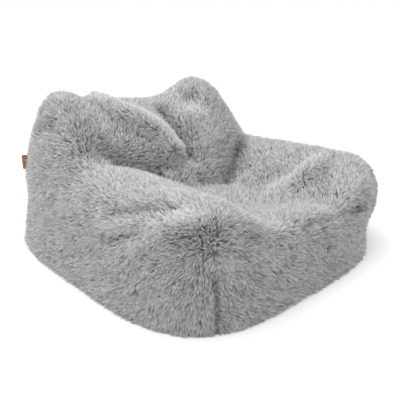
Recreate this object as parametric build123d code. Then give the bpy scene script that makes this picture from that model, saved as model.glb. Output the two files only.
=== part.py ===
from build123d import *
import math
import os

# Bean bag armchair in long-pile cloth, in millimetres: +Z up, front at -Y, origin on the floor
# under the middle of its box. A sewn cover of eight pile panels and a base cloth holds a zipped
# liner of loose beads. The cover's own zip lies in a slot at the foot of the back panel.

# Footprint of the cover, measured over the pile
WIDTH = 910.0
DEPTH = 968.0
SQUARENESS = 3.75           # exponent of the superellipse outline
SEAM_HEIGHT = 150.0         # floor to the seam between the walls and the top panels
WALL_LEAN = 20.0            # the walls lean in by this much from the floor to the seam
PILE = 25.0                 # pile and backing cloth together
BASE_CLOTH = 2.0
BASE_SETBACK = 6.0          # base cloth behind the face of the pile
CORNER_SEAM_X = 324.0       # upright seams between the four walls
EDGE_START = 0.78           # share of the outline where the top begins to round over
EDGE_SQUARENESS = 2.5       # exponent of that rounding

# Top of the bag: seat, two arm rolls and the backrest between its two ears
FOOT_HEIGHT = 120.0         # height that every roll would die out at
SEAT_HEIGHT = 185.0
SEAT_DIP = 15.0
SEAT_DIP_X = 60.0
SEAT_DIP_Y = -100.0
SEAT_DIP_RADIUS = 200.0
LIP_DROP = 25.0             # fall of the seat towards its front lip
LIP_START_Y = -250.0
LIP_RUN = 220.0
LEFT_ARM_X = -290.0
LEFT_ARM_BACK_HEIGHT = 308.0
LEFT_ARM_FRONT_HEIGHT = 340.0
LEFT_ARM_INNER_RUN = 345.0
LEFT_ARM_OUTER_RUN = 420.0
RIGHT_ARM_X = 350.0
RIGHT_ARM_BACK_HEIGHT = 226.0
RIGHT_ARM_FRONT_HEIGHT = 302.0
RIGHT_ARM_INNER_RUN = 275.0
RIGHT_ARM_OUTER_RUN = 250.0
ARM_BACK_Y = 260.0          # where the arms meet the backrest
ARM_LENGTH = 650.0
BACK_CREST_Y = 262.0
BACK_LEFT_HEIGHT = 420.0
BACK_RIGHT_HEIGHT = 390.0
BACK_FRONT_RUN = 390.0
BACK_REAR_RUN = 330.0
LEFT_EAR_X = -290.0
LEFT_EAR_RISE = 60.0
LEFT_EAR_SPREAD = 95.0
LEFT_EAR_RUN = 300.0
RIGHT_EAR_X = 250.0
RIGHT_EAR_RISE = 50.0
RIGHT_EAR_SPREAD = 85.0
RIGHT_EAR_RUN = 225.0
MIDDLE_RISE = 12.0
MIDDLE_X = -70.0
MIDDLE_SPREAD = 70.0
FOLD = 45.0                 # softness of the creases where two rolls meet
NOSE_REACH = 70.0           # overhang of the right arm's front corner past the wall
NOSE_Y = -385.0
NOSE_SPREAD = 95.0

# Seams between the panels of the top
BACK_SEAM_Y = -60.0         # seam between the backrest panel and the seat and arm panels
ARM_SEAM_X = 200.0          # seams between the seat panel and the arm panels

# Liner and beads
LINER_GAP = 2.0             # air between the cover and the liner
LINER_WALL = 2.0
BEAD_GAP = 0.5
SHOULDER = 40.0             # the liner rounds over this far below the cover's seam
LEDGE = 1.0                 # step from the liner's upright wall to its rounded top
LINER_SETBACK = 28.5        # flat back of the liner behind the cover's zip

# Zips: both closures have the same chain
ZIP_HEIGHT = 60.0           # floor to the middle of the chain
ZIP_SETBACK = 28.0          # chain behind the foot of the pile's face
SLOT_LENGTH = 460.0
SLOT_HEIGHT = 24.0
ZIP_TRAVEL = 380.0
TAPE = 0.8
TOOTH_PITCH = 4.0
TOOTH_WIDTH = 2.4
TOOTH_LENGTH = 1.4
TOOTH_ROOT = 1.6            # solid strip that carries the teeth
TOOTH_THICKNESS = 2.4
CHAIN_GAP = 1.6             # space between the two rows of teeth, for the slider's bridge
STOP_LENGTH = 3.6
STOP_GAP = 3.0              # stop to slider at the end of its travel
SLIDER_LENGTH = 14.0
SLIDER_HEIGHT = 12.0
PLATE = 1.6
BRIDGE = 0.8
RUN_CLEARANCE = 0.4         # slider to teeth
BAIL_DIAMETER = 1.6
EYE_DIAMETER = 3.2
EYE_CLEARANCE = 0.06        # radial, eye on its bail
EYE_HEIGHT = 5.0
LUG = 1.4
LUG_WIDTH = 3.2
LUG_CLEARANCE = 0.35
PULL_LENGTH = 22.0
PULL_HEIGHT = 8.0
PULL_THICKNESS = 1.2
PULL_CORNER = 2.0
BEAD_POCKET = 8.0           # room behind the liner's slider

# Folded leather tab in the seam at the left back corner
TAG_BEARING = 137.0         # degrees from +X, seen from above
TAG_Z = 258.0
TAG_HEIGHT = 45.0
TAG_REACH = 13.0            # past the face of the pile
TAG_ROOT = 12.0             # sewn in between the panels
TAG_THICKNESS = 3.0
TAG_CORNER = 3.0
STITCH_LENGTH = 4.0
STITCH_SPACING = 6.0
STITCH_COUNT = 6
STITCH_THICKNESS = 0.7
STITCH_INSET = 3.5

# Fineness of the lofted forms
STATION_TURN = 4.0          # degrees from one upright section to the next
COVER_END_TURN = 78.0       # last sections of the cover's top, where 90 would reach the outline
LINER_END_TURN = 66.0       # the liner and the beads end sooner, on one of the same sections
SECTION_POINTS = 29
OUTLINE_POINTS = 48
REACH = 2000.0              # longer than anything in the model, for cutting tools


def roll(share):
    """Height share of a roll: 1 on its crest, 0 from share 1 outwards, with a round crest and a soft foot."""
    return 0.5 + 0.5 * math.cos(math.pi * min(share, 1.0))


def hump(distance, spread):
    """Bell curve: 1 in the middle, 0.37 at one spread."""
    return math.exp(-((distance / spread) ** 2))


def crease(low, high):
    """Greater of two heights, with a soft fold where they cross."""
    share = min(max(0.5 + 0.5 * (low - high) / FOLD, 0.0), 1.0)
    return high * (1 - share) + low * share + FOLD * share * (1 - share)


def arm_height(x, y, crest_x, back, front, left_run, right_run):
    """Roll along Y that changes from its back height to its front height."""
    share = min(max((ARM_BACK_Y - y) / ARM_LENGTH, 0.0), 1.0)
    crest = back + (front - back) * share
    run = left_run if x < crest_x else right_run
    return FOOT_HEIGHT + (crest - FOOT_HEIGHT) * roll(abs(x - crest_x) / run)


def back_height(x, y):
    """Roll along X with an ear at each end, steep at its ends and leaning back in front."""
    share = min(max((x - LEFT_EAR_X) / (RIGHT_EAR_X - LEFT_EAR_X), 0.0), 1.0)
    crest = BACK_LEFT_HEIGHT + (BACK_RIGHT_HEIGHT - BACK_LEFT_HEIGHT) * share
    crest += LEFT_EAR_RISE * hump(x - LEFT_EAR_X, LEFT_EAR_SPREAD)
    crest += RIGHT_EAR_RISE * hump(x - RIGHT_EAR_X, RIGHT_EAR_SPREAD)
    crest += MIDDLE_RISE * hump(x - MIDDLE_X, MIDDLE_SPREAD)
    past_end = max((LEFT_EAR_X - x) / LEFT_EAR_RUN, (x - RIGHT_EAR_X) / RIGHT_EAR_RUN, 0.0)
    run = BACK_REAR_RUN if y > BACK_CREST_Y else BACK_FRONT_RUN
    return FOOT_HEIGHT + (crest - FOOT_HEIGHT) * roll(math.hypot(past_end, (y - BACK_CREST_Y) / run))


def crown(x, y):
    """Height of the bag's top over the floor, before its edge rounds down to the seam."""
    dip = hump(math.hypot(x - SEAT_DIP_X, y - SEAT_DIP_Y), SEAT_DIP_RADIUS)
    lip = min(max((LIP_START_Y - y) / LIP_RUN, 0.0), 1.0)
    top = SEAT_HEIGHT - SEAT_DIP * dip - LIP_DROP * lip
    left = arm_height(x, y, LEFT_ARM_X, LEFT_ARM_BACK_HEIGHT, LEFT_ARM_FRONT_HEIGHT,
                      LEFT_ARM_OUTER_RUN, LEFT_ARM_INNER_RUN)
    right = arm_height(x, y, RIGHT_ARM_X, RIGHT_ARM_BACK_HEIGHT, RIGHT_ARM_FRONT_HEIGHT,
                       RIGHT_ARM_INNER_RUN, RIGHT_ARM_OUTER_RUN)
    return crease(crease(crease(top, left), right), back_height(x, y))


def half_width(y, inset):
    """Half width of the superellipse outline at y, drawn in by inset."""
    share = min(abs(y) / (DEPTH / 2 - inset), 1.0)
    return (WIDTH / 2 - inset) * (1 - share ** SQUARENESS) ** (1 / SQUARENESS)


def top_height(x, y, inset, floor, overhang=0.0):
    """Height of the top, drawn in by inset: the crown, rounded over at the outline down to floor."""
    drawn_in = inset + WALL_LEAN
    x_share = abs(x) / (WIDTH / 2 - drawn_in)
    if x > 0:
        x_share *= half_width(y, drawn_in) / (half_width(y, drawn_in) + overhang)
    y_share = abs(y) / (DEPTH / 2 - drawn_in)
    reach = (x_share ** SQUARENESS + y_share ** SQUARENESS) ** (1 / SQUARENESS)
    past = min(max((reach - EDGE_START) / (1 - EDGE_START), 0.0), 1.0)
    rounding = (1 - past ** EDGE_SQUARENESS) ** (1 / EDGE_SQUARENESS)
    return floor + (crown(x, y) - inset - floor) * rounding


def pillow(inset, floor, end_turn, nose_reach=0.0):
    """Solid between the level floor and the top of the bag, lofted through upright sections."""
    drawn_in = inset + WALL_LEAN
    sections = []
    for station in range(round(2 * end_turn / STATION_TURN) + 1):
        turn = math.radians(station * STATION_TURN - end_turn)
        y = (DEPTH / 2 - drawn_in) * math.sin(turn)
        nose = nose_reach * hump(y - NOSE_Y, NOSE_SPREAD)
        left, right = -half_width(y, drawn_in), half_width(y, drawn_in) + nose
        line = []
        for step in range(SECTION_POINTS):
            share = 0.5 + 0.5 * math.sin(math.radians(-90 + 180 * step / (SECTION_POINTS - 1)))
            x = left + (right - left) * share
            line.append((x, y, top_height(x, y, inset, floor, nose)))
        line[0] = (left, y, floor)
        line[-1] = (right, y, floor)
        sections.append(make_face([Spline(*line), Line(line[-1], line[0])]))
    return loft(sections, ruled=True)


def outline(inset, z):
    """Superellipse face at the height z, drawn in by inset and by the lean of the walls, begun at the back."""
    drawn_in = inset + WALL_LEAN * z / SEAM_HEIGHT
    points = []
    for step in range(OUTLINE_POINTS):
        turn = 2 * math.pi * (step / OUTLINE_POINTS + 0.25)
        c, s = math.cos(turn), math.sin(turn)
        x = (WIDTH / 2 - drawn_in) * math.copysign(abs(c) ** (2 / SQUARENESS), c)
        y = (DEPTH / 2 - drawn_in) * math.copysign(abs(s) ** (2 / SQUARENESS), s)
        points.append((x, y, z))
    return make_face(Spline(*points, periodic=True))


def block(inset, low, high):
    """Solid between two heights, inside the leaning walls drawn in by inset."""
    return loft([outline(inset, low), outline(inset, high)], ruled=True)


def brick(x_range, y_range, z_range):
    """Box between two corners."""
    spans = [x_range, y_range, z_range]
    middle = [(low + high) / 2 for low, high in spans]
    return Pos(*middle) * Box(*[high - low for low, high in spans])


ALL = (-REACH, REACH)
LEFT_OF_SEAT = (-REACH, -ARM_SEAM_X)
SEAT_SPAN = (-ARM_SEAM_X, ARM_SEAM_X)
RIGHT_OF_SEAT = (ARM_SEAM_X, REACH)
parts = {}

# Walls of the cover: four pile panels standing on the base cloth, joined at the upright seams
wall = block(0, BASE_CLOTH, SEAM_HEIGHT) - block(PILE, 0, SEAM_HEIGHT + PILE)
parts["base_panel"] = block(BASE_SETBACK, 0, BASE_CLOTH)
parts["left_gusset"] = wall & brick((-REACH, -CORNER_SEAM_X), ALL, ALL)
parts["right_gusset"] = wall & brick((CORNER_SEAM_X, REACH), ALL, ALL)
between_corners = (-CORNER_SEAM_X, CORNER_SEAM_X)
parts["front_gusset"] = wall & brick(between_corners, (-REACH, 0), ALL)
slot_span = (-SLOT_LENGTH / 2, SLOT_LENGTH / 2)
slot_rise = (ZIP_HEIGHT - SLOT_HEIGHT / 2, ZIP_HEIGHT + SLOT_HEIGHT / 2)
slot = brick(slot_span, (0, REACH), slot_rise)
parts["back_gusset"] = (wall & brick(between_corners, (0, REACH), ALL)) - slot

# Top of the cover: seat, arms and backrest, cut from one shell along their seams
inner_floor = SEAM_HEIGHT - SHOULDER
shell = pillow(0, SEAM_HEIGHT, COVER_END_TURN, NOSE_REACH) - pillow(PILE, inner_floor, COVER_END_TURN)
in_front = (-REACH, BACK_SEAM_Y)
parts["seat_panel"] = shell & brick(SEAT_SPAN, in_front, ALL)
parts["left_arm_panel"] = shell & brick(LEFT_OF_SEAT, in_front, ALL)
parts["right_arm_panel"] = shell & brick(RIGHT_OF_SEAT, in_front, ALL)
backrest = shell & brick(ALL, (BACK_SEAM_Y, REACH), ALL)

# Tag: a folded tab whose root is sewn in between the panels, standing square to the wall
bearing = math.radians(TAG_BEARING)
near, far = 0.0, REACH
while far - near > 0.01:
    reach = (near + far) / 2
    x, y = reach * math.cos(bearing), reach * math.sin(bearing)
    in_outline = abs(x) < half_width(y, WALL_LEAN)
    if in_outline and top_height(x, y, 0, SEAM_HEIGHT) > TAG_Z:
        near = reach
    else:
        far = reach
tag_place = Rot(0, 0, TAG_BEARING) * Pos(near, 0, TAG_Z)
tab = Box(TAG_ROOT + TAG_REACH, TAG_THICKNESS, TAG_HEIGHT)
tab = Pos((TAG_REACH - TAG_ROOT) / 2, 0, 0) * tab
tab = fillet(tab.edges().filter_by(Axis.Y).group_by(Axis.X)[-1], TAG_CORNER)
tag = tag_place * tab
parts["backrest_panel"] = backrest - tag
stitches = []
for step in range(STITCH_COUNT):
    z = (step - (STITCH_COUNT - 1) / 2) * STITCH_SPACING
    for side in (-1, 1):
        y = side * (TAG_THICKNESS + STITCH_THICKNESS) / 2
        thread = Box(STITCH_THICKNESS, STITCH_THICKNESS, STITCH_LENGTH)
        stitches.append(tag_place * Pos(TAG_REACH - STITCH_INSET, y, z) * thread)
parts["side_tag"] = tag
parts["tag_stitches"] = Compound(stitches)


def comb(side):
    """One row of teeth on its strip, cut from the chain's plane: side is 1 above the middle, -1 below."""
    half = ZIP_TRAVEL / 2 + SLIDER_LENGTH / 2
    tip = CHAIN_GAP / 2
    neck = tip + TOOTH_LENGTH
    root = neck + TOOTH_ROOT
    points = [(-half, root), (-half, neck)]
    count = int(2 * half / TOOTH_PITCH)
    first = -(count - 1) * TOOTH_PITCH / 2
    for tooth in range(count):
        x = first + tooth * TOOTH_PITCH
        low, high = x - TOOTH_WIDTH / 2, x + TOOTH_WIDTH / 2
        points += [(low, neck), (low, tip), (high, tip), (high, neck)]
    points += [(half, neck), (half, root)]
    flat = [(x, 0, side * z) for x, z in points]
    face = make_face(Polyline(*flat, close=True))
    row = extrude(face, amount=TOOTH_THICKNESS / 2, dir=(0, 1, 0), both=True)
    return row


def zip_pieces(name, y, has_pull):
    """Tapes, teeth, stops and slider of one zip whose chain lies in the plane at y."""
    place = Pos(0, y, ZIP_HEIGHT)
    tape_edge = CHAIN_GAP / 2 + TOOTH_LENGTH + TOOTH_ROOT
    half_slot = SLOT_HEIGHT / 2
    across = (-TAPE / 2, TAPE / 2)
    pieces = {}
    pieces["upper_tape"] = brick(slot_span, across, (tape_edge, half_slot))
    pieces["lower_tape"] = brick(slot_span, across, (-half_slot, -tape_edge))
    pieces["upper_teeth"] = comb(1)
    pieces["lower_teeth"] = comb(-1)
    stop_start = ZIP_TRAVEL / 2 + SLIDER_LENGTH / 2 + STOP_GAP
    thick = (-TOOTH_THICKNESS / 2, TOOTH_THICKNESS / 2)
    high = (-tape_edge, tape_edge)
    left_stop = brick((-stop_start - STOP_LENGTH, -stop_start), thick, high)
    right_stop = brick((stop_start, stop_start + STOP_LENGTH), thick, high)
    pieces["end_stops"] = Compound([left_stop, right_stop])

    # Slider, parked at the closed end: two plates and the bridge that runs between the rows
    face = TOOTH_THICKNESS / 2 + RUN_CLEARANCE
    park = Pos(-ZIP_TRAVEL / 2, 0, 0)
    long = (-SLIDER_LENGTH / 2, SLIDER_LENGTH / 2)
    tall = (-SLIDER_HEIGHT / 2, SLIDER_HEIGHT / 2)
    slider = brick(long, (face, face + PLATE), tall)
    slider += brick(long, (-face - PLATE, -face), tall)
    slider += brick(long, (-face - PLATE, face + PLATE), (-BRIDGE / 2, BRIDGE / 2))
    if has_pull:
        bail_y = face + PLATE + RUN_CLEARANCE + EYE_DIAMETER / 2
        lug_start = EYE_HEIGHT / 2 + LUG_CLEARANCE
        wide = (-LUG_WIDTH / 2, LUG_WIDTH / 2)
        deep = (face, bail_y + BAIL_DIAMETER)
        slider += brick(wide, deep, (lug_start, lug_start + LUG))
        slider += brick(wide, deep, (-lug_start - LUG, -lug_start))
        slider += Pos(0, bail_y, 0) * Cylinder(BAIL_DIAMETER / 2, 2 * lug_start + LUG)
        blade = brick((-PULL_LENGTH, 0), (-PULL_THICKNESS / 2, PULL_THICKNESS / 2),
                      (-PULL_HEIGHT / 2, PULL_HEIGHT / 2))
        blade = fillet(blade.edges().filter_by(Axis.Y).group_by(Axis.X)[0], PULL_CORNER)
        neck = (-EYE_DIAMETER / 2 - RUN_CLEARANCE - LUG_WIDTH / 2, LUG_WIDTH)
        for side in (-1, 1):
            rise = sorted((side * EYE_HEIGHT / 2, side * PULL_HEIGHT))
            blade -= brick(neck, (-PULL_THICKNESS, PULL_THICKNESS), rise)
        pull = blade + Cylinder(EYE_DIAMETER / 2, EYE_HEIGHT)
        pull -= Cylinder(BAIL_DIAMETER / 2 + EYE_CLEARANCE, PULL_HEIGHT)
        pieces["pull"] = park * Pos(0, bail_y, 0) * pull
    pieces["slider"] = park * slider
    return {name + "_" + key: place * piece for key, piece in pieces.items()}


# Zip of the cover, across its slot, and zip of the liner, on the liner's flat back
cover_chain_y = DEPTH / 2 - ZIP_SETBACK
liner_back_y = cover_chain_y - LINER_SETBACK
parts |= zip_pieces("cover_zip", cover_chain_y, True)
parts |= zip_pieces("liner_zip", liner_back_y - LINER_WALL / 2, False)


def filling(inset, low, back):
    """Inside of the bag, drawn in by inset, with upright walls and cut flat at the back."""
    lower = extrude(outline(inset, inner_floor), amount=inner_floor - low, dir=(0, 0, -1))
    whole = lower + pillow(inset + LEDGE, inner_floor, LINER_END_TURN)
    return whole - brick(ALL, (back, REACH), ALL)


# Liner: a thin bag with a window for its zip, and the beads that fill it
outside = PILE + LINER_GAP
inside = outside + LINER_WALL
liner_bag = filling(outside, BASE_CLOTH, liner_back_y)
liner_bag -= filling(inside, BASE_CLOTH + LINER_WALL, liner_back_y - LINER_WALL)
parts["liner_bag"] = liner_bag - slot
bead_back_y = liner_back_y - LINER_WALL - BEAD_GAP
beads = filling(inside + BEAD_GAP, BASE_CLOTH + LINER_WALL + BEAD_GAP, bead_back_y)
parts["bead_fill"] = beads - brick(slot_span, (bead_back_y - BEAD_POCKET, REACH), slot_rise)

os.makedirs("parts", exist_ok=True)
for name, piece in parts.items():
    export_step(piece, "parts/" + name + ".step")
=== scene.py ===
import bpy
import numpy as np
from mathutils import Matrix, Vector


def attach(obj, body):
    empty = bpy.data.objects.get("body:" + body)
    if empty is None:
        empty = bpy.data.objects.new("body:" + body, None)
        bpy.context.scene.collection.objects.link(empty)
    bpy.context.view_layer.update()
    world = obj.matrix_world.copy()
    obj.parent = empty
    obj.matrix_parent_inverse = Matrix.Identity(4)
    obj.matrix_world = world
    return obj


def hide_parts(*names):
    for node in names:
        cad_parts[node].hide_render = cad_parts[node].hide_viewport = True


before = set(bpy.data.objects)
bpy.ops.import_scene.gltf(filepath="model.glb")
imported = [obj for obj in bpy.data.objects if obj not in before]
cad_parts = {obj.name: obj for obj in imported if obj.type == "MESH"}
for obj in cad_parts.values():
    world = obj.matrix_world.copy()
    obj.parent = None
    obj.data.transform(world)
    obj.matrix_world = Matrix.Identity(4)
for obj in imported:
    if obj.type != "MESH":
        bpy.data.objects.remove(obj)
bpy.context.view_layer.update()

# Beads: loose foam beads a few millimetres across, poured into the liner through its zip.
# They settle into one soft mass, and that mass gives the bag its seat, arms and backrest.
WIDTH, DEPTH = 0.910, 0.968
SQUARENESS = 3.75
SEAM_HEIGHT = 0.150
WALL_LEAN = 0.020
EDGE_START = 0.78
EDGE_SQUARENESS = 2.5
FOOT_HEIGHT = 0.120
SEAT_HEIGHT = 0.185
SEAT_DIP, SEAT_DIP_X, SEAT_DIP_Y, SEAT_DIP_RADIUS = 0.015, 0.060, -0.100, 0.200
LIP_DROP, LIP_START_Y, LIP_RUN = 0.025, -0.250, 0.220
LIP_RISE, LIP_RISE_X, LIP_RISE_SPREAD = 0.052, -0.020, 0.170
LIP_RISE_START, LIP_RISE_END = 0.220, 0.400
ARM_BACK_Y, ARM_LENGTH = 0.260, 0.650
# Arms: place of the crest, its height at the back and at the front, the sag between them,
# and how far the roll runs to its left and to its right
LEFT_ARM = (-0.290, 0.312, 0.332, 0.008, 0.420, 0.345)
RIGHT_ARM = (0.350, 0.226, 0.302, 0.0, 0.275, 0.250)
BACK_HEIGHT, BACK_FALL = 0.420, 0.030
BACK_CREST_Y = 0.262
BACK_REAR_RUN, BACK_FRONT_RUN = 0.330, 0.390
LEFT_EAR_X, LEFT_EAR_RISE, LEFT_EAR_SPREAD, LEFT_EAR_RUN = -0.290, 0.060, 0.095, 0.300
RIGHT_EAR_X, RIGHT_EAR_RISE, RIGHT_EAR_SPREAD, RIGHT_EAR_RUN = 0.250, 0.050, 0.085, 0.225
MIDDLE_X, MIDDLE_RISE, MIDDLE_SPREAD = -0.070, 0.012, 0.070
FOLD = 0.045


def roll(share):
    """Half a cosine wave: 1 on the crest of a roll, 0 from share 1 outwards."""
    return 0.5 + 0.5 * np.cos(np.pi * np.minimum(share, 1.0))


def hump(distance, spread):
    """Bell curve: 1 in the middle, 0.37 at one spread."""
    return np.exp(-((distance / spread) ** 2))


def ease(value, start, end):
    """Smooth step from 0 at start to 1 at end."""
    share = np.clip((value - start) / (end - start), 0.0, 1.0)
    return share * share * (3 - 2 * share)


def crease(low, high):
    """Greater of two heights, with a soft fold where they cross."""
    share = np.clip(0.5 + 0.5 * (low - high) / FOLD, 0.0, 1.0)
    return high * (1 - share) + low * share + FOLD * share * (1 - share)


def arm_height(x, y, crest_x, back, front, sag, left_run, right_run):
    """Roll along Y, from its back height to its front height, sagging between them."""
    share = np.clip((ARM_BACK_Y - y) / ARM_LENGTH, 0.0, 1.0)
    crest = back + (front - back) * share - sag * np.sin(np.pi * share)
    run = np.where(x < crest_x, left_run, right_run)
    return FOOT_HEIGHT + (crest - FOOT_HEIGHT) * roll(np.abs(x - crest_x) / run)


def back_height(x, y):
    """Roll along X that rises to an ear at each end and leans back in front."""
    share = np.clip((x - LEFT_EAR_X) / (RIGHT_EAR_X - LEFT_EAR_X), 0.0, 1.0)
    crest = BACK_HEIGHT - BACK_FALL * share + LEFT_EAR_RISE * hump(x - LEFT_EAR_X, LEFT_EAR_SPREAD)
    crest = crest + RIGHT_EAR_RISE * hump(x - RIGHT_EAR_X, RIGHT_EAR_SPREAD)
    crest = crest + MIDDLE_RISE * hump(x - MIDDLE_X, MIDDLE_SPREAD)
    past_end = np.maximum((LEFT_EAR_X - x) / LEFT_EAR_RUN, (x - RIGHT_EAR_X) / RIGHT_EAR_RUN)
    run = np.where(y > BACK_CREST_Y, BACK_REAR_RUN, BACK_FRONT_RUN)
    away = np.hypot(np.maximum(past_end, 0), (y - BACK_CREST_Y) / run)
    return FOOT_HEIGHT + (crest - FOOT_HEIGHT) * roll(away)


def crown(x, y):
    """Top of the bag before its edge rounds down: the seat, both arms and the backrest, creased together."""
    top = SEAT_HEIGHT - SEAT_DIP * hump(np.hypot(x - SEAT_DIP_X, y - SEAT_DIP_Y), SEAT_DIP_RADIUS)
    top = top - LIP_DROP * np.clip((LIP_START_Y - y) / LIP_RUN, 0.0, 1.0)
    top = top + LIP_RISE * hump(x - LIP_RISE_X, LIP_RISE_SPREAD) * ease(-y, LIP_RISE_START, LIP_RISE_END)
    top = crease(crease(top, arm_height(x, y, *LEFT_ARM)), arm_height(x, y, *RIGHT_ARM))
    return crease(top, back_height(x, y))


def half_width(y, inset):
    """Half width at y of the superellipse |x/a|^n + |y/b|^n = 1, drawn in by inset."""
    share = np.minimum(np.abs(y) / (DEPTH / 2 - inset), 1.0)
    return (WIDTH / 2 - inset) * (1 - share ** SQUARENESS) ** (1 / SQUARENESS)


def rim(turn, inset):
    """Point of that superellipse at an angle: cosine and sine to the power 2/n, times the half sizes."""
    c, s = np.cos(turn), np.sin(turn)
    x = (WIDTH / 2 - inset) * np.sign(c) * np.abs(c) ** (2 / SQUARENESS)
    y = (DEPTH / 2 - inset) * np.sign(s) * np.abs(s) ** (2 / SQUARENESS)
    return x, y


def top_height(x, y, inset, overhang=0.0):
    """Height of the top, drawn in by inset: the crown, rounded over at the outline down to the seam."""
    drawn_in = inset + WALL_LEAN
    width = half_width(y, drawn_in)
    x_share = np.abs(x) / (WIDTH / 2 - drawn_in)
    x_share = np.where(x > 0, x_share * width / (width + overhang + 1e-9), x_share)
    y_share = np.abs(y) / (DEPTH / 2 - drawn_in)
    reach = (x_share ** SQUARENESS + y_share ** SQUARENESS) ** (1 / SQUARENESS)
    past = np.clip((reach - EDGE_START) / (1 - EDGE_START), 0.0, 1.0)
    rounding = (1 - past ** EDGE_SQUARENESS) ** (1 / EDGE_SQUARENESS)
    return SEAM_HEIGHT + (crown(x, y) - inset - SEAM_HEIGHT) * rounding


# Folds of the cloth: height, spread to each side, share of the line over which each end fades,
# and the line that the fold follows
FOLDS = [
    # backrest: the diagonal roll, the hollow below it, the valley beside it and the right ear's lobe
    (0.038, 0.034, (0.0, 0.15), [
        (-0.166, 0.257, 0.414), (-0.127, 0.203, 0.401), (-0.069, 0.156, 0.363), (-0.030, 0.120, 0.323),
        (-0.012, 0.082, 0.280), (-0.002, 0.048, 0.240)]),
    (-0.034, 0.042, (0.55, 0.15), [
        (-0.318, 0.140, 0.395), (-0.290, 0.100, 0.355), (-0.235, 0.066, 0.310), (-0.180, 0.046, 0.280),
        (-0.110, 0.030, 0.250), (-0.045, 0.012, 0.222)]),
    (-0.034, 0.028, (0.2, 0.2), [
        (0.040, 0.230, 0.392), (0.046, 0.152, 0.351), (0.055, 0.107, 0.306), (0.052, 0.065, 0.260),
        (0.040, 0.020, 0.215)]),
    (-0.018, 0.036, (0.4, 0.4), [
        (0.130, 0.220, 0.398), (0.171, 0.194, 0.394), (0.215, 0.165, 0.389)]),
    (0.012, 0.034, (0.4, 0.4), [
        (0.080, 0.165, 0.360), (0.127, 0.155, 0.354), (0.196, 0.125, 0.342)]),
    (0.014, 0.060, (0.0, 0.0), [
        (0.150, 0.110, 0.320), (0.150, 0.080, 0.290)]),
    (-0.036, 0.030, (0.2, 0.3), [
        (0.090, -0.022, 0.184), (0.145, -0.026, 0.181), (0.196, -0.005, 0.197), (0.243, 0.027, 0.233),
        (0.299, 0.061, 0.253)]),
    (-0.018, 0.028, (0.3, 0.0), [
        (0.000, 0.005, 0.202), (0.050, -0.021, 0.182), (0.109, -0.031, 0.179)]),
    # near arm: the folds that spread from its front corner
    (-0.038, 0.022, (0.3, 0.2), [
        (-0.423, -0.091, 0.227), (-0.398, -0.189, 0.274), (-0.364, -0.282, 0.304), (-0.325, -0.348, 0.316)]),
    (0.030, 0.024, (0.3, 0.0), [
        (-0.429, -0.074, 0.206), (-0.406, -0.200, 0.258), (-0.374, -0.293, 0.289), (-0.319, -0.374, 0.305)]),
    (-0.014, 0.025, (0.3, 0.3), [
        (-0.434, -0.099, 0.176), (-0.411, -0.224, 0.243), (-0.381, -0.299, 0.275)]),
    (0.018, 0.026, (0.0, 0.3), [
        (-0.334, -0.372, 0.291), (-0.379, -0.317, 0.269), (-0.411, -0.260, 0.227), (-0.429, -0.209, 0.171)]),
    (0.016, 0.028, (0.0, 0.3), [
        (-0.303, -0.391, 0.302), (-0.240, -0.423, 0.286), (-0.167, -0.425, 0.257), (-0.090, -0.410, 0.212),
        (-0.014, -0.400, 0.170)]),
    (-0.010, 0.026, (0.2, 0.2), [
        (-0.263, -0.428, 0.266), (-0.185, -0.448, 0.232), (-0.081, -0.453, 0.176)]),
    (-0.014, 0.022, (0.2, 0.2), [
        (-0.344, -0.399, 0.206), (-0.330, -0.415, 0.180), (-0.318, -0.428, 0.160)]),
    # far arm and the overhang at its front
    (-0.030, 0.022, (0.2, 0.2), [
        (-0.045, -0.445, 0.186), (0.012, -0.445, 0.181), (0.102, -0.445, 0.177), (0.200, -0.445, 0.173),
        (0.300, -0.440, 0.172)]),
    (0.018, 0.036, (0.3, 0.2), [
        (0.060, -0.410, 0.185), (0.160, -0.405, 0.200), (0.270, -0.400, 0.235), (0.340, -0.400, 0.245)]),
    (0.028, 0.034, (0.2, 0.3), [
        (0.310, -0.290, 0.280), (0.238, -0.249, 0.227), (0.169, -0.211, 0.182), (0.090, -0.215, 0.175)]),
    (-0.012, 0.034, (0.3, 0.3), [
        (0.104, -0.082, 0.171), (0.182, -0.117, 0.183), (0.245, -0.167, 0.227)]),
    # left wall
    (-0.014, 0.030, (0.3, 0.3), [
        (-0.375, 0.290, 0.343), (-0.371, 0.254, 0.373), (-0.360, 0.212, 0.395), (-0.336, 0.184, 0.415)]),
]
# Step over which slopes are taken, the reach over which the folds turn from upwards to outwards,
# and how far below the seam they point straight outwards
SLOPE_STEP = 0.015
OUTWARDS_START, OUTWARDS_END = 0.75, 0.97
BELOW_SEAM = 0.001


def unit(vectors):
    """Vectors divided by their lengths."""
    return vectors / np.maximum(np.linalg.norm(vectors, axis=-1, keepdims=True), 1e-9)


def fold(points, height, width, fades, line):
    """Bell across a line of straight runs, which fades towards the ends of the line."""
    line = np.array(line)
    lengths = np.linalg.norm(np.diff(line, axis=0), axis=1)
    starts = np.concatenate([[0], np.cumsum(lengths)])
    nearest = np.full(points.shape[:-1], np.inf)
    share = np.zeros(points.shape[:-1])
    for start, end, run_up, length in zip(line[:-1], line[1:], starts, lengths):
        along = np.clip((points - start) @ (end - start) / length ** 2, 0, 1)
        away = np.linalg.norm(points - start - along[..., None] * (end - start), axis=-1)
        closer = away < nearest
        nearest = np.where(closer, away, nearest)
        share = np.where(closer, (run_up + along * length) / starts[-1], share)
    strength = np.ones_like(share)
    if fades[0]:
        strength = strength * ease(share, 0, fades[0])
    if fades[1]:
        strength = strength * ease(1 - share, 0, fades[1])
    return height * strength * hump(nearest, width)


def relief(points):
    """Height of all the folds together, at points of the cloth before it is folded."""
    return sum(fold(points, *values) for values in FOLDS)


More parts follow.
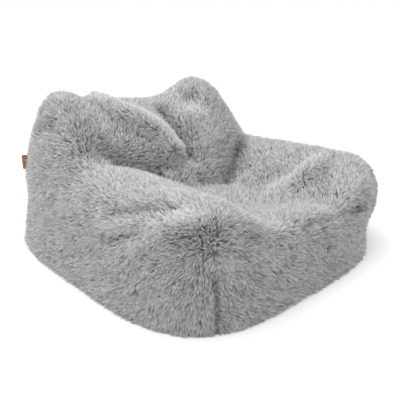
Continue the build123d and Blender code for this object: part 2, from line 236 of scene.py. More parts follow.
def dress(points):
    """Moves the cloth by the sum of the folds, square to the crown and, near the rim, straight outwards."""
    x, y, z = np.moveaxis(points, -1, 0)
    slope_x = (crown(x + SLOPE_STEP, y) - crown(x - SLOPE_STEP, y)) / (2 * SLOPE_STEP)
    slope_y = (crown(x, y + SLOPE_STEP) - crown(x, y - SLOPE_STEP)) / (2 * SLOPE_STEP)
    up = unit(np.stack([-slope_x, -slope_y, 1 + 0 * x], -1))
    x_share, y_share = x / (WIDTH / 2 - WALL_LEAN), y / (DEPTH / 2 - WALL_LEAN)
    power = SQUARENESS - 1
    out_x, out_y = np.sign(x) * np.abs(x_share) ** power, np.sign(y) * np.abs(y_share) ** power
    out = unit(np.stack([out_x, out_y, 0 * x], -1))
    reach = (np.abs(x_share) ** SQUARENESS + np.abs(y_share) ** SQUARENESS) ** (1 / SQUARENESS)
    share = np.maximum(ease(reach, OUTWARDS_START, OUTWARDS_END), z < SEAM_HEIGHT - BELOW_SEAM)[..., None]
    return points + unit(up * (1 - share) + out * share) * relief(points)[..., None]


AROUND = 240
TOP_RINGS, WALL_RINGS, FLOOR_RINGS = 80, 14, 20


def filled_form(inset, low, back):
    """Rings from the middle of the top out to the rim, down the wall and in to the middle of the floor."""
    turn = np.linspace(0, 2 * np.pi, AROUND, endpoint=False)
    rim_x, rim_y = rim(turn, inset + WALL_LEAN)
    out = np.sin(np.linspace(0, np.pi / 2, TOP_RINGS))[:, None]
    x, y = rim_x * out, rim_y * out
    top = np.stack([x, y, top_height(x, y, inset)], -1)
    down = np.linspace(0, 1, WALL_RINGS)[1:, None]
    z = SEAM_HEIGHT + (low - SEAM_HEIGHT) * down
    wall = np.stack([rim_x + 0 * down, rim_y + 0 * down, z + 0 * rim_x], -1)
    home = np.linspace(1, 0, FLOOR_RINGS)[1:, None]
    foot = np.stack([rim_x * home, rim_y * home, low + 0 * rim_x * home], -1)
    rings = dress(np.concatenate([top, wall, foot]))
    rings[..., 1] = np.minimum(rings[..., 1], back)
    return rings


def new_piece(name, points, loops, sizes, material):
    """Mesh object from points, the corner list of its faces and the number of corners of each face."""
    mesh = bpy.data.meshes.new(name)
    mesh.vertices.add(len(points))
    mesh.vertices.foreach_set("co", np.ascontiguousarray(points, np.float32).ravel())
    mesh.loops.add(len(loops))
    mesh.loops.foreach_set("vertex_index", np.ascontiguousarray(loops, np.int32))
    mesh.polygons.add(len(sizes))
    starts = np.concatenate([[0], np.cumsum(sizes)[:-1]]).astype(np.int32)
    mesh.polygons.foreach_set("loop_start", starts)
    mesh.update(calc_edges=True)
    mesh.polygons.foreach_set("use_smooth", np.ones(len(sizes), bool))
    mesh.materials.append(material)
    piece = bpy.data.objects.new(name, mesh)
    bpy.context.scene.collection.objects.link(piece)
    return piece


def ring_piece(name, rings, material):
    """Closed piece from rings of points whose first and last ring are single points: quads between fans."""
    rows, count = rings.shape[:2]
    points = np.concatenate([rings[:1, 0], rings[1:-1].reshape(-1, 3), rings[-1:, 0]])
    here = np.arange(count)
    after = (here + 1) % count
    ring = 1 + np.arange(rows - 3)[:, None] * count
    quads = np.stack([ring + here, ring + count + here, ring + count + after, ring + after], -1)
    quads = quads.reshape(-1, 4)
    last = 1 + (rows - 3) * count
    cap = np.stack([0 * here, 1 + here, 1 + after], -1)
    foot = np.stack([0 * here + len(points) - 1, last + after, last + here], -1)
    loops = np.concatenate([quads.ravel(), cap.ravel(), foot.ravel()])
    return new_piece(name, points, loops, [4] * len(quads) + [3] * 2 * count, material)


def new_material(name, colour, roughness):
    """Material with one Principled shader, returned with its node tree, the shader and Object coordinates."""
    material = bpy.data.materials.new(name)
    material.use_nodes = True
    tree = material.node_tree
    shader = tree.nodes["Principled BSDF"]
    shader.inputs["Base Color"].default_value = (*colour, 1)
    shader.inputs["Roughness"].default_value = roughness
    place = tree.nodes.new("ShaderNodeTexCoord").outputs["Object"]
    return material, tree, shader, place


def bump(tree, shader, height, distance, strength=1.0):
    """Bump from a height output into the shader's Normal."""
    node = tree.nodes.new("ShaderNodeBump")
    node.inputs["Strength"].default_value = strength
    node.inputs["Distance"].default_value = distance
    tree.links.new(height, node.inputs["Height"])
    tree.links.new(node.outputs["Normal"], shader.inputs["Normal"])


def ramp(tree, value, stops):
    """Colour ramp from (place, colour) stops, driven by a value output."""
    node = tree.nodes.new("ShaderNodeValToRGB")
    node.color_ramp.elements[0].position = stops[0][0]
    node.color_ramp.elements[0].color = (*stops[0][1], 1)
    node.color_ramp.elements[1].position = stops[-1][0]
    node.color_ramp.elements[1].color = (*stops[-1][1], 1)
    for position, colour in stops[1:-1]:
        node.color_ramp.elements.new(position).color = (*colour, 1)
    tree.links.new(value, node.inputs["Fac"])
    return node.outputs["Color"]


BEAD_INSET, BEAD_LOW, BEAD_BACK_Y = 0.034, 0.0052, 0.415
bead_foam, tree, shader, place = new_material("bead_foam", colour=(0.8, 0.8, 0.78), roughness=0.75)
balls = tree.nodes.new("ShaderNodeTexVoronoi")
balls.inputs["Scale"].default_value = 250
tree.links.new(place, balls.inputs["Vector"])
# Painted shading of round beads: each bead paler in its middle and darker towards its edge, where beads meet
bead_shading = ramp(tree, balls.outputs["Distance"], [(0.1, (0.85, 0.85, 0.83)), (0.8, (0.5, 0.5, 0.48))])
tree.links.new(bead_shading, shader.inputs["Base Color"])
bump(tree, shader, balls.outputs["Distance"], distance=-0.002)

beads = ring_piece("bead_mass", filled_form(BEAD_INSET, BEAD_LOW, BEAD_BACK_Y), bead_foam)
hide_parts("bead_fill")
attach(beads, "bag")

# Liner: a thin bag of plain cotton that holds the beads when the cover is off for washing.
# It is sewn to the shape of the cover and closed by a zip on its flat back.
LINER_INSET, LINER_LOW, LINER_BACK_Y = 0.029, 0.0030, 0.4255
weave = bpy.data.node_groups.new("plain_weave", "ShaderNodeTree")
weave.interface.new_socket("Vector", in_out="INPUT", socket_type="NodeSocketVector")
weave.interface.new_socket("Threads", in_out="INPUT", socket_type="NodeSocketFloat")
weave.interface.new_socket("Height", in_out="OUTPUT", socket_type="NodeSocketFloat")
group_in = weave.nodes.new("NodeGroupInput")
group_out = weave.nodes.new("NodeGroupOutput")
scaled = weave.nodes.new("ShaderNodeVectorMath")
scaled.operation = "SCALE"
weave.links.new(group_in.outputs["Vector"], scaled.inputs[0])
weave.links.new(group_in.outputs["Threads"], scaled.inputs["Scale"])
split = weave.nodes.new("ShaderNodeSeparateXYZ")
weave.links.new(scaled.outputs["Vector"], split.inputs["Vector"])


def weave_math(operation, *values):
    """One math node of the weave, fed by numbers or by other outputs."""
    node = weave.nodes.new("ShaderNodeMath")
    node.operation = operation
    for socket, value in zip(node.inputs, values):
        if isinstance(value, (int, float)):
            socket.default_value = value
        else:
            weave.links.new(value, socket)
    return node.outputs["Value"]


across = weave_math("SINE", weave_math("ADD", split.outputs["X"], split.outputs["Y"]))
rising = weave_math("ADD", split.outputs["Z"], split.outputs["Y"])
along = weave_math("SINE", weave_math("SUBTRACT", rising, split.outputs["X"]))
over_under = weave_math("MULTIPLY", across, along)
weave.links.new(weave_math("MULTIPLY_ADD", over_under, 0.5, 0.5), group_out.inputs["Height"])


def woven(name, colour, shade, threads, depth):
    """Plain woven cloth: two crossing sine waves make its threads, darker in the gaps."""
    material, tree, shader, place = new_material(name, colour, roughness=0.9)
    node = tree.nodes.new("ShaderNodeGroup")
    node.node_tree = weave
    node.inputs["Threads"].default_value = threads
    tree.links.new(place, node.inputs["Vector"])
    worn = tree.nodes.new("ShaderNodeTexNoise")
    worn.inputs["Scale"].default_value = 30
    tree.links.new(place, worn.inputs["Vector"])
    mixed = tree.nodes.new("ShaderNodeMath")
    mixed.operation = "MULTIPLY_ADD"
    mixed.inputs[1].default_value = 0.6
    tree.links.new(node.outputs["Height"], mixed.inputs[0])
    tree.links.new(worn.outputs["Fac"], mixed.inputs[2])
    tone = ramp(tree, mixed.outputs["Value"], [(0.2, shade), (0.8, colour)])
    tree.links.new(tone, shader.inputs["Base Color"])
    bump(tree, shader, node.outputs["Height"], depth)
    return material


liner_cotton = woven("liner_cotton", colour=(0.62, 0.61, 0.58), shade=(0.40, 0.39, 0.37),
                     threads=4000, depth=0.0003)
liner = ring_piece("liner_cloth", filled_form(LINER_INSET, LINER_LOW, LINER_BACK_Y), liner_cotton)
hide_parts("liner_bag")
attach(liner, "bag")

# Liner zip: a chain of moulded teeth on two woven tapes across the window in the liner's flat back.
# Its slider has no pull, so that a child can't open it.
zip_tape = woven("zip_tape", colour=(0.075, 0.075, 0.078), shade=(0.035, 0.035, 0.037),
                 threads=9000, depth=0.0002)


def speckled(name, colour, shade, roughness, metallic, scale):
    """Hard material whose colour goes between two tones in fine noise, with a faint matching bump."""
    material, tree, shader, place = new_material(name, colour, roughness)
    shader.inputs["Metallic"].default_value = metallic
    grain = tree.nodes.new("ShaderNodeTexNoise")
    grain.inputs["Scale"].default_value = scale
    grain.inputs["Detail"].default_value = 5
    tree.links.new(place, grain.inputs["Vector"])
    tone = ramp(tree, grain.outputs["Fac"], [(0.3, shade), (0.7, colour)])
    tree.links.new(tone, shader.inputs["Base Color"])
    bump(tree, shader, grain.outputs["Fac"], distance=0.0002, strength=0.4)
    return material


zip_teeth = speckled("zip_teeth", colour=(0.095, 0.095, 0.10), shade=(0.06, 0.06, 0.064),
                     roughness=0.35, metallic=0.0, scale=900)
zip_metal = speckled("zip_metal", colour=(0.52, 0.52, 0.53), shade=(0.34, 0.34, 0.35),
                     roughness=0.32, metallic=1.0, scale=700)


def finish_nodes(material, *nodes):
    """Gives CAD pieces that stay as they are one material."""
    for node in nodes:
        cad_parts[node].data.materials.clear()
        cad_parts[node].data.materials.append(material)


def finish_zip(name):
    """Cloth tapes, plastic teeth and metal stops and slider of one zip."""
    finish_nodes(zip_tape, name + "_upper_tape", name + "_lower_tape")
    finish_nodes(zip_teeth, name + "_upper_teeth", name + "_lower_teeth")
    finish_nodes(zip_metal, name + "_end_stops", name + "_slider")


finish_zip("liner_zip")

# Pile panels: eight pieces of long-pile cloth sewn edge to edge, four standing as walls and four
# as seat, arms and backrest. Each is a backing cloth with locks of fine grey hair set into it.
PILE_DEPTH = 0.015
BACK_SEAM_Y = -0.060
ARM_SEAM_X = 0.200
CORNER_SEAM_X = 0.328
CLOTH = 0.002
FOOT = 0.002
SLOT_HIGH, SLOT_LOW = 0.0715, 0.0485
SLOT_END = 0.228
TAPE_FACE_Y = 0.4572
# Overhang at the right arm's front corner: it grows outwards to NOSE_FULL_X and upwards from NOSE_FOOT_Z
NOSE_REACH, NOSE_Y, NOSE_SPREAD = 0.070, -0.385, 0.095
NOSE_FULL_X, NOSE_FOOT_Z = 0.150, 0.060
# Flat stretch around the slot: how far it runs past the slot, and over what it fades
FLAT_PAST_END, FLAT_END_FADE = 0.060, 0.045
FLAT_HALF_HEIGHT, FLAT_EDGE_FADE = 0.036, 0.018
# Only points behind BACK_WALL_Y can lie in the slot, and the seat's front edge lies within FRONT_EDGE_X
BACK_WALL_Y = 0.40
FRONT_EDGE_X = 0.3
# Rows and columns of the panels' grids
RIM_STEPS, FINE_RIM_STEPS = 4001, 8001
TOP_ROWS, SEAT_COLUMNS, ARM_COLUMNS, BACKREST_COLUMNS = 130, 130, 150, 320
END_COLUMNS, SIDE_COLUMNS = 180, 260
ROWS_ABOVE_SLOT, ROWS_AT_SLOT, ROWS_BELOW_SLOT = 22, 8, 14


def waves(points, wavelength, count, seed):
    """Smooth noise of about unit size: a sum of sine waves in random directions."""
    draw = np.random.default_rng(seed)
    vectors = draw.normal(size=(count, 3)) * 2 * np.pi / wavelength / 1.7
    phases = draw.uniform(0, 2 * np.pi, count)
    return np.sin(points @ vectors.T + phases).sum(-1) * np.sqrt(2 / count)


def grid_normals(grid):
    """Outward normals of a grid of points: the cross product of its two directions."""
    along, across = np.gradient(grid, axis=0), np.gradient(grid, axis=1)
    normals = np.cross(along, across)
    normals[0] = np.where(np.linalg.norm(normals[0], axis=-1, keepdims=True) < 1e-12, normals[1], normals[0])
    return unit(normals)


def nose(y):
    """How far the right arm's front corner hangs out over its wall."""
    return NOSE_REACH * hump(y - NOSE_Y, NOSE_SPREAD)


def seam_point(turn, inset, z):
    """Face of the walls at an angle and a height: the leaning outline, with the overhang near the seam."""
    x, y = rim(turn, inset + WALL_LEAN * z / SEAM_HEIGHT)
    reach = nose(y) * ease(x, 0, NOSE_FULL_X) * ease(z, NOSE_FOOT_Z, SEAM_HEIGHT)
    return x + reach, y


fine_turn = np.linspace(-np.pi, np.pi, FINE_RIM_STEPS)
rim_x, rim_y = seam_point(fine_turn, PILE_DEPTH, SEAM_HEIGHT)


def turn_at(value, table, low, high):
    """Angle between low and high at which the rim reaches a value of x or y."""
    inside = (fine_turn >= low) & (fine_turn <= high)
    order = np.argsort(table[inside])
    return np.interp(value, table[inside][order], fine_turn[inside][order])


def even_turns(first, last, count):
    """Angles from first to last, spaced evenly by length along the rim."""
    turn = np.linspace(first, last, RIM_STEPS)
    x, y = seam_point(turn, PILE_DEPTH, SEAM_HEIGHT)
    run = np.concatenate([[0], np.cumsum(np.hypot(np.diff(x), np.diff(y)))])
    return np.interp(np.linspace(0, run[-1], count), run, turn)


def top_grid(x, y):
    """Points of the top over x and y, with the last row on the seam."""
    z = top_height(x, y, PILE_DEPTH, nose(y))
    z[-1] = SEAM_HEIGHT
    return np.stack([x, y, z], -1)


def top_fan(apex, first, last, count):
    """Part of the top between two angles of the rim: straight rays from an apex out to the rim."""
    edge_x, edge_y = seam_point(even_turns(first, last, count), PILE_DEPTH, SEAM_HEIGHT)
    out = np.sin(np.linspace(0, np.pi / 2, TOP_ROWS))[:, None]
    return top_grid(apex[0] + (edge_x - apex[0]) * out, apex[1] + (edge_y - apex[1]) * out)


def wall_strip(first, last, count):
    """Part of the walls between two angles of the rim, from the seam down past the slot to the floor."""
    above = np.linspace(SEAM_HEIGHT, SLOT_HIGH, ROWS_ABOVE_SLOT)
    beside = np.linspace(SLOT_HIGH, SLOT_LOW, ROWS_AT_SLOT)[1:]
    below = np.linspace(SLOT_LOW, FOOT, ROWS_BELOW_SLOT)[1:]
    z = np.concatenate([above, beside, below])[:, None]
    x, y = seam_point(even_turns(first, last, count), PILE_DEPTH, z)
    return np.stack([x, y, z + 0 * x], -1)


def flat_at_zip(grid):
    """Draws the foot of the back wall flat around the slot, to the face of the zip's tapes."""
    x, y, z = np.moveaxis(grid, -1, 0)
    middle = (SLOT_HIGH + SLOT_LOW) / 2
    share = ease(SLOT_END + FLAT_PAST_END - np.abs(x), 0, FLAT_END_FADE)
    share = share * ease(FLAT_HALF_HEIGHT - np.abs(z - middle), 0, FLAT_EDGE_FADE)
    return np.stack([x, y + (TAPE_FACE_Y - y) * share, z], -1)


def slot_gap(points):
    """Distance of points outside the slot in the back wall: 0 inside it, and large on every other panel."""
    x, y, z = np.moveaxis(points, -1, 0)
    over = np.maximum(np.maximum(z - SLOT_HIGH, SLOT_LOW - z), 0)
    return np.hypot(over, np.maximum(np.abs(x) - SLOT_END, 0)) + (y < BACK_WALL_Y)


def seat_grid():
    """Seat: straight lines across it from arm to arm, and rays from the backrest's seam to the front edge."""
    x = np.linspace(-ARM_SEAM_X, ARM_SEAM_X, SEAT_COLUMNS)
    front = (rim_y < 0) & (np.abs(rim_x) < FRONT_EDGE_X)
    order = np.argsort(rim_x[front])
    edge = np.interp(x, rim_x[front][order], rim_y[front][order])
    out = np.sin(np.linspace(0, np.pi / 2, TOP_ROWS))[:, None]
    y = BACK_SEAM_Y + (edge - BACK_SEAM_Y) * out
    return top_grid(x + 0 * y, y)


half = np.pi / 2
left_back = turn_at(BACK_SEAM_Y, rim_y, -np.pi, -half)
left_front = turn_at(-ARM_SEAM_X, rim_x, -np.pi, -half)
right_front = turn_at(ARM_SEAM_X, rim_x, -half, 0)
right_back = turn_at(BACK_SEAM_Y, rim_y, -half, 0)
corner = np.arccos((CORNER_SEAM_X / (WIDTH / 2)) ** (SQUARENESS / 2))
panels = {
    "seat": seat_grid(),
    "left_arm": top_fan((-ARM_SEAM_X, BACK_SEAM_Y), left_back, left_front, ARM_COLUMNS),
    "right_arm": top_fan((ARM_SEAM_X, BACK_SEAM_Y), right_front, right_back, ARM_COLUMNS),
    "backrest": top_fan((0.0, BACK_SEAM_Y), right_back, 2 * np.pi + left_back, BACKREST_COLUMNS),
    "front": wall_strip(-np.pi + corner, -corner, END_COLUMNS),
    "right": wall_strip(-corner, corner, SIDE_COLUMNS),
    "back": flat_at_zip(wall_strip(corner, np.pi - corner, END_COLUMNS)),
    "left": wall_strip(np.pi - corner, np.pi + corner, SIDE_COLUMNS),
}
node_of = {"seat": "seat_panel", "left_arm": "left_arm_panel", "right_arm": "right_arm_panel",
           "backrest": "backrest_panel", "front": "front_gusset", "right": "right_gusset",
           "back": "back_gusset", "left": "left_gusset"}

pile_backing = woven("pile_backing", colour=(0.20, 0.20, 0.20), shade=(0.14, 0.14, 0.14),
                     threads=3000, depth=0.0003)

pile_hair, tree, shader, _ = new_material("pile_hair", colour=(0.5, 0.5, 0.5), roughness=0.8)
hair_uv = tree.nodes.new("ShaderNodeUVMap")
hair_uv.uv_map = "OFBake"
parted = tree.nodes.new("ShaderNodeSeparateXYZ")
tree.links.new(hair_uv.outputs["UV"], parted.inputs["Vector"])
# Along each hair: dark at the root, a painted shade deep in the pile, through a grey shaft to pale tips
SHADED_ROOT_COLOUR, SHAFT_COLOUR, TIP_COLOUR = (0.14, 0.142, 0.141), (0.41, 0.417, 0.414), (0.90, 0.91, 0.905)
DARK_TINT, MIDDLE_TINT, PALE_TINT = (0.42, 0.42, 0.42), (0.84, 0.84, 0.84), (1.12, 1.12, 1.12)
lengthwise = ramp(tree, parted.outputs["Y"], [(0.0, SHADED_ROOT_COLOUR), (0.40, SHAFT_COLOUR), (1.0, TIP_COLOUR)])
# Across the UV map: each lock's tint, a random tone together with painted light and shade from folds, ears,
# front and whorl
tinted = ramp(tree, parted.outputs["X"], [(0.0, DARK_TINT), (0.5, MIDDLE_TINT), (1.0, PALE_TINT)])
# Places of the two colour inputs and the colour output among a Mix node's sockets
MIX_FIRST, MIX_SECOND, MIX_COLOUR = 6, 7, 2
blend = tree.nodes.new("ShaderNodeMix")
blend.data_type = "RGBA"
blend.blend_type = "MULTIPLY"
blend.inputs["Factor"].default_value = 1.0
tree.links.new(lengthwise, blend.inputs[MIX_FIRST])
tree.links.new(tinted, blend.inputs[MIX_SECOND])
tree.links.new(blend.outputs[MIX_COLOUR], shader.inputs["Base Color"])
shader.inputs["Sheen Weight"].default_value = 0.3
shader.inputs["Sheen Roughness"].default_value = 0.5

LOCKS_PER_SQUARE_METRE = 68000
HAIRS_PER_LOCK = 3
HAIR_LENGTH, HAIR_SHORTEST, HAIR_LONGEST = 0.0195, 0.7, 1.1
HAIR_WIDTH, HAIR_THINNEST, HAIR_THICKEST = 0.0044, 0.35, 0.60
HAIR_LOWEST = 0.0008
LOCK_RADIUS = 0.0020
TIP_PULL = 0.70
PILE_REACH = 0.018
SEAM_WIDTH, SEAM_FADE, SEAM_PUSH = 0.006, 0.3, 2.5
WHORL_SPREAD = 0.050
LOCK_TURN, HAIR_TURN = 0.35, 0.10
MOST_TRIANGLES = 170000
# Comb of the pile: its pull downwards, and the size and wavelength of the slow and the fine swirls
COMB_DOWN = np.array([0, 0, -0.50])
SWIRL, SWIRL_WAVE = 0.30, 0.16
FINE_SWIRL, FINE_SWIRL_WAVE = 0.10, 0.05
# Tint and lean of the pile: the mean, the spread between locks, and what folds, seams and places add; what
# folds, the whorl, the ears' tops and the front add to the tint is painted light and shade
MEAN_TINT, TINT_SPREAD, HAIR_TINT_SPREAD = 0.46, 0.26, 0.08
LEAST_TINT, MOST_TINT = 0.03, 0.97
TINT_DRIFT, TINT_DRIFT_WAVE = 0.03, 0.09
PAINTED_FOLD_LIGHT, PAINTED_FOLD_LIGHT_LOW, PAINTED_FOLD_LIGHT_HIGH = 11.0, -0.28, 0.48
SEAM_TINT, WHORL_PAINTED_LIGHT = -0.60, 0.30
EAR_PAINTED_SHADE, EAR_SHADE_START, EAR_SHADE_END = -0.10, 0.36, 0.44
FRONT_PAINTED_SHADE, FRONT_SHADE_START, FRONT_SHADE_END = -0.12, 0.4, 0.9
MEAN_LEAN, LEAN_SPREAD, LEAN_MOST = 0.70, 0.18, 1.20
FOLD_LEAN, FOLD_LEAN_LOW, FOLD_LEAN_HIGH = 10.0, -0.30, 0.35
HANGING_LEAN, HANGING_START, HANGING_END = 0.35, 0.3, 0.9
# Length of the locks: slow drift, spread between locks, what seams take off, and what is left beside the slot
LENGTH_DRIFT, LENGTH_DRIFT_WAVE, LENGTH_SPREAD = 0.06, 0.06, 0.10
SEAM_TRIM = 0.35
SLOT_LEAVES, SLOT_TRIM_RUN = 0.4, 0.035
# One hair: three faces from a triangle of roots to a tip, the UV map's places across and along it,
# the sine and cosine of 60 degrees for the triangle, and how far the shading rounds at root and tip
HAIR_FACES = np.array([1, 0, 3, 2, 1, 3, 0, 2, 3])
ACROSS_HAIR = np.array([-0.01, 0.01, 0.0] * 3)
ALONG_HAIR = np.array([0.02, 0.02, 0.98] * 3)
CORNER_SINE, CORNER_COSINE = 0.87, 0.5
ROOT_ROUNDING, TIP_ROUNDING = 0.5, 0.4
WHORL = np.array([-0.316, -0.430, 0.200])
corner_seams = []
for turn in (corner - np.pi, -corner, corner, np.pi - corner):
    line = [(*seam_point(turn, PILE_DEPTH, z), z) for z in (0.0, SEAM_HEIGHT)]
    corner_seams.append(np.array(line))
corner_seams[0] = np.concatenate([corner_seams[0], WHORL[None]])


def parting(points):
    """Nearness of each point to a corner seam, 1 on it, and the level direction away from that seam."""
    near, away = np.zeros(len(points)), np.zeros((len(points), 3))
    for line in corner_seams:
        here = fold(points, 1.0, SEAM_WIDTH, (0.0, SEAM_FADE), line)
        near = near + here
        away = away + here[:, None] * unit((points - line[:2].mean(0)) * (1, 1, 0))
    return near, away


def along_cloth(vectors, normals):
    """Directions laid flat on the cloth: what is left of them beside the normal."""
    return unit(vectors - (vectors * normals).sum(-1, keepdims=True) * normals)


def comb(points, normals):
    """Way the pile lies: out from the whorl over the front corner and down the walls, in slow swirls."""
    way = along_cloth(unit(points - WHORL) + COMB_DOWN, normals)
    swirl = np.stack([waves(points, SWIRL_WAVE, 8, seed) for seed in (11, 12, 13)], -1)
    finer = np.stack([waves(points, FINE_SWIRL_WAVE, 8, seed) for seed in (14, 15, 16)], -1)
    return way + SWIRL * swirl + FINE_SWIRL * finer


def turned(first, second, angle):
    """Mix of two perpendicular directions: cosine of the first plus sine of the second."""
    return np.cos(angle)[:, None] * first + np.sin(angle)[:, None] * second


def lock_places(draw, grid, raised):
    """Places spread evenly by area: a cell drawn by its area, then a point mixed from the cell's corners."""
    normals = grid_normals(grid)
    outer = grid + PILE_REACH * normals
    corners = [outer[:-1, :-1], outer[1:, :-1], outer[1:, 1:], outer[:-1, 1:]]
    areas = 0.5 * np.linalg.norm(np.cross(corners[2] - corners[0], corners[3] - corners[1]), axis=-1)
    running = np.cumsum(areas)
    locks = int(running[-1] * LOCKS_PER_SQUARE_METRE)
    cell = np.searchsorted(running, draw.uniform(0, running[-1], locks))
    row, column = np.divmod(np.minimum(cell, areas.size - 1), areas.shape[1])
    down, over = draw.uniform(size=(2, locks, 1))

    def within(values):
        """Values at the places, mixed in proportion from the four corners of their cells."""
        upper = values[row, column] * (1 - over) + values[row, column + 1] * over
        lower = values[row + 1, column] * (1 - over) + values[row + 1, column + 1] * over
        return upper * (1 - down) + lower * down

    centre, normal, height = within(grid), unit(within(normals)), within(raised[..., None])[:, 0]
    outside = slot_gap(centre) > 0
    return centre[outside], normal[outside], height[outside]


def lock_manner(draw, centre, normal, height):
    """Way, tint, length and lean of each lock: a mean, plus what its place adds, plus a random part; the tint
    carries painted light and shade.
    """
    locks = len(centre)
    near, away = parting(centre)
    way = along_cloth(comb(centre, normal) + SEAM_PUSH * away, normal)
    way = turned(way, np.cross(normal, way), draw.normal(0, LOCK_TURN, locks))
    # Painted light on raised folds and painted shade in creases, in proportion to the fold's height
    tint_and_painted_light = np.clip(PAINTED_FOLD_LIGHT * height, PAINTED_FOLD_LIGHT_LOW, PAINTED_FOLD_LIGHT_HIGH) + SEAM_TINT * near
    # Painted shade: darker towards the tops of the ears
    tint_and_painted_light = tint_and_painted_light + EAR_PAINTED_SHADE * ease(centre[:, 2], EAR_SHADE_START, EAR_SHADE_END)
    # Painted shade: darker where the pile faces the front
    tint_and_painted_light = tint_and_painted_light + FRONT_PAINTED_SHADE * ease(-normal[:, 1], FRONT_SHADE_START, FRONT_SHADE_END)
    # Painted light: paler around the whorl, over the dark of hairs that point out of the cloth there
    tint_and_painted_light = tint_and_painted_light + WHORL_PAINTED_LIGHT * hump(np.linalg.norm(centre - WHORL, axis=1), WHORL_SPREAD)
    tint_and_painted_light = MEAN_TINT + tint_and_painted_light + TINT_DRIFT * waves(centre, TINT_DRIFT_WAVE, 10, 21)
    tint_and_painted_light = tint_and_painted_light + draw.normal(0, TINT_SPREAD, locks)
    drift = LENGTH_DRIFT * waves(centre, LENGTH_DRIFT_WAVE, 8, 22)
    length = HAIR_LENGTH * (1 + drift + draw.normal(0, LENGTH_SPREAD, locks))
    beside_slot = SLOT_LEAVES + (1 - SLOT_LEAVES) * ease(slot_gap(centre), 0, SLOT_TRIM_RUN)
    length = length * (1 - SEAM_TRIM * near) * beside_slot
    lean = MEAN_LEAN + np.clip(FOLD_LEAN * height, FOLD_LEAN_LOW, FOLD_LEAN_HIGH)
    lean = lean + draw.normal(0, LEAN_SPREAD, locks)
    lean = np.clip(lean + HANGING_LEAN * ease(-way[:, 2], HANGING_START, HANGING_END), 0.0, LEAN_MOST)
    return way, tint_and_painted_light, length, lean


def hairs(draw, centre, normal, way, length, lean):
    """Three-sided spikes around their locks: roots in a triangle about each axis, tips drawn together."""
    count = len(centre)
    side = np.cross(normal, way)
    spread = LOCK_RADIUS * np.sqrt(draw.uniform(size=(count, 1)))
    offset = spread * turned(way, side, draw.uniform(0, 2 * np.pi, count))
    root = centre + offset
    way = turned(way, side, draw.normal(0, HAIR_TURN, count))
    side = np.cross(normal, way)
    length = (length * draw.uniform(HAIR_SHORTEST, HAIR_LONGEST, count))[:, None]
    axis = turned(normal, way, lean)
    tip = root + length * axis - TIP_PULL * offset
    upper = turned(way, -normal, lean)
    wide = HAIR_WIDTH * draw.uniform(HAIR_THINNEST, HAIR_THICKEST, (count, 1))
    back, beside = CORNER_COSINE * upper, CORNER_SINE * side
    around = np.stack([-upper, back + beside, back - beside], 1)
    points = np.concatenate([root[:, None] + wide[:, None] * around, tip[:, None]], 1)
    points[..., 2] = np.maximum(points[..., 2], HAIR_LOWEST)
    at_root, at_tip = normal[:, None] + ROOT_ROUNDING * around, normal + TIP_ROUNDING * axis
    shading = np.concatenate([at_root, at_tip[:, None]], 1)
    return points.reshape(-1, 3), unit(shading.reshape(-1, 3))


def pile(name, grid, raised, seed):
    """Pile of part of a panel: locks spread over its grid, each of a few hairs that lean together."""
    draw = np.random.default_rng(seed)
    centre, normal, height = lock_places(draw, grid, raised)
    way, tint_and_painted_light, length, lean = lock_manner(draw, centre, normal, height)
    centre, normal, way, tint_and_painted_light, length, lean = (
        np.repeat(values, HAIRS_PER_LOCK, axis=0) for values in (centre, normal, way, tint_and_painted_light, length, lean))
    points, shading = hairs(draw, centre, normal, way, length, lean)
    count = len(centre)
    faces = 4 * np.arange(count)[:, None] + HAIR_FACES
    piece = new_piece(name, points, faces.ravel(), [3] * 3 * count, pile_hair)
    tint_and_painted_light = np.clip(tint_and_painted_light + draw.normal(0, HAIR_TINT_SPREAD, count), LEAST_TINT, MOST_TINT)[:, None]
    uv = np.stack([tint_and_painted_light + ACROSS_HAIR, 0 * tint_and_painted_light + ALONG_HAIR], -1)
    layer = piece.data.uv_layers.new(name="OFBake")
    layer.data.foreach_set("uv", uv.astype(np.float32).ravel())
    free = piece.data.attributes.new("custom_normal", "FLOAT_VECTOR", "POINT")
    free.data.foreach_set("vector", shading.astype(np.float32).ravel())
    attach(piece, "bag")


def cloth_piece(name, grid, node):
    """Backing cloth of one panel: quads, or triangles around an apex, open at the slot, with a thickness."""
    rows, columns = grid.shape[:2]
    first = np.arange(rows - 1)[:, None] * columns + np.arange(columns - 1)
    faces = np.stack([first, first + columns, first + columns + 1, first + 1], -1)
    middles = (grid[:-1, :-1] + grid[1:, 1:]) / 2
    faces = faces[slot_gap(middles) > 0]
    points = grid.reshape(-1, 3)
    sizes = np.full(len(faces), 4)
    corners = faces.ravel()
    if np.ptp(grid[0], axis=0).max() < 1e-6:
        apex, below = np.zeros(columns - 1, int), np.arange(1, columns)
        cap = np.stack([apex, below, below + 1], -1)
        quads = faces[columns - 1:] - columns + 1
        points = np.concatenate([grid[:1, 0], grid[1:].reshape(-1, 3)])
        corners = np.concatenate([cap.ravel(), quads.ravel()])
        sizes = np.concatenate([np.full(len(cap), 3), np.full(len(quads), 4)])
    piece = new_piece(name, points, corners, sizes, pile_backing)
    thick = piece.modifiers.new("cloth", "SOLIDIFY")
    thick.thickness = CLOTH
    thick.offset = -1
    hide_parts(node)
    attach(piece, "bag")


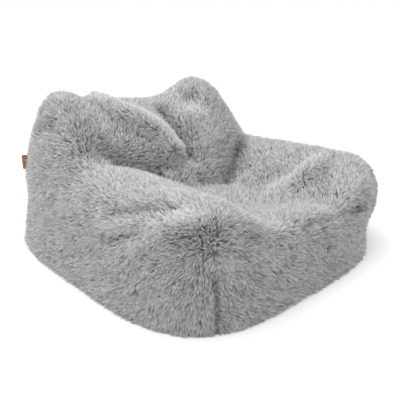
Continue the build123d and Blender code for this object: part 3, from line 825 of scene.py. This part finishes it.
for number, (name, grid) in enumerate(panels.items()):
    raised, grid = relief(grid), dress(grid)
    cloth_piece(name + "_cloth", grid, node_of[name])
    down_edge, side_edge = grid[1:, :-1] - grid[:-1, :-1], grid[:-1, 1:] - grid[:-1, :-1]
    area = np.linalg.norm(np.cross(down_edge, side_edge), axis=-1).sum()
    triangles = area * LOCKS_PER_SQUARE_METRE * HAIRS_PER_LOCK * 3
    shares = int(np.ceil(triangles / MOST_TRIANGLES))
    edges = np.linspace(0, grid.shape[1] - 1, shares + 1).astype(int)
    for share, (start, end) in enumerate(zip(edges[:-1], edges[1:])):
        columns = slice(start, end + 1)
        pile(f"{name}_pile_{share}", grid[:, columns], raised[:, columns], seed=100 + 10 * number + share)

# Base: a flat piece of dark woven canvas, cut to the outline of the bag, on which the bag stands.
# It is sewn to the foot of the four walls and held stretched between them.
base_canvas = woven("base_canvas", colour=(0.055, 0.055, 0.058), shade=(0.028, 0.028, 0.030),
                    threads=2500, depth=0.0004)
BASE_RINGS = 24
BASE_LOW = 0.0003
turn = np.linspace(0, 2 * np.pi, AROUND, endpoint=False)
rim_x, rim_y = rim(turn, PILE_DEPTH)
out = np.linspace(0, 1, BASE_RINGS)[:, None]
upper = np.stack([rim_x * out, rim_y * out, FOOT + 0 * rim_x * out], -1)
lower = upper[::-1] - (0, 0, FOOT - BASE_LOW)
base = ring_piece("base_cloth", np.concatenate([upper, lower]), base_canvas)
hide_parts("base_panel")
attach(base, "bag")

# Cover zip: the same moulded chain as the liner's, on woven tapes across the slot at the foot of
# the back wall, with a metal pull that swings on the slider's bail.
finish_zip("cover_zip")
finish_nodes(zip_metal, "cover_zip_pull")

# Tag: a folded tab of brown leather, left bare. Its root is sewn in between the panels at the
# left back corner, and two rows of waxed thread hold the fold.
tag_leather = speckled("tag_leather", colour=(0.30, 0.155, 0.075), shade=(0.17, 0.082, 0.038),
                       roughness=0.55, metallic=0.0, scale=260)
tag_thread = speckled("tag_thread", colour=(0.55, 0.48, 0.38), shade=(0.38, 0.32, 0.24),
                      roughness=0.8, metallic=0.0, scale=1500)
finish_nodes(tag_leather, "side_tag")
finish_nodes(tag_thread, "tag_stitches")

# Stage: a pale floor, even light from all around with one broad soft lamp overhead, a little
# to the left, and the camera.
FLOOR_REACH, FLOOR_DROP = 15, 0.0005
SKY_STRENGTH = 1.06
LAMP_PLACE, LAMP_TARGET = (-0.7, 0.2, 3.0), (0, 0, 0.2)
LAMP_SIZE, LAMP_POWER = 3.4, 48
CAMERA_PLACE, CAMERA_TARGET = (-1.237, -1.353, 0.938), (-0.015, -0.047, 0.149)
CAMERA_SENSOR, CAMERA_ANGLE = 36, 35.0
floor_paint = new_material("floor_paint", colour=(0.93, 0.93, 0.93), roughness=0.9)[0]
corners = np.array([(-1, -1, 0), (1, -1, 0), (1, 1, 0), (-1, 1, 0)]) * FLOOR_REACH
floor = new_piece("floor", corners - (0, 0, FLOOR_DROP), np.arange(4), [4], floor_paint)

world = bpy.data.worlds.new("studio")
bpy.context.scene.world = world
world.use_nodes = True
world.node_tree.nodes["Background"].inputs["Color"].default_value = (1, 1, 1, 1)
world.node_tree.nodes["Background"].inputs["Strength"].default_value = SKY_STRENGTH
bpy.context.scene.view_settings.view_transform = "Standard"


def aim(item, place, target):
    """Places a light or camera and turns its -Z axis to the target."""
    item.location = place
    item.rotation_euler = (Vector(target) - Vector(place)).to_track_quat("-Z", "Y").to_euler()
    bpy.context.scene.collection.objects.link(item)


key = bpy.data.lights.new("key", "AREA")
key.shape = "DISK"
key.size = LAMP_SIZE
key.energy = LAMP_POWER
aim(bpy.data.objects.new("key", key), LAMP_PLACE, LAMP_TARGET)

lens = bpy.data.cameras.new("camera")
lens.sensor_width = CAMERA_SENSOR
lens.angle = np.radians(CAMERA_ANGLE)
camera = bpy.data.objects.new("camera", lens)
aim(camera, CAMERA_PLACE, CAMERA_TARGET)
bpy.context.scene.camera = camera
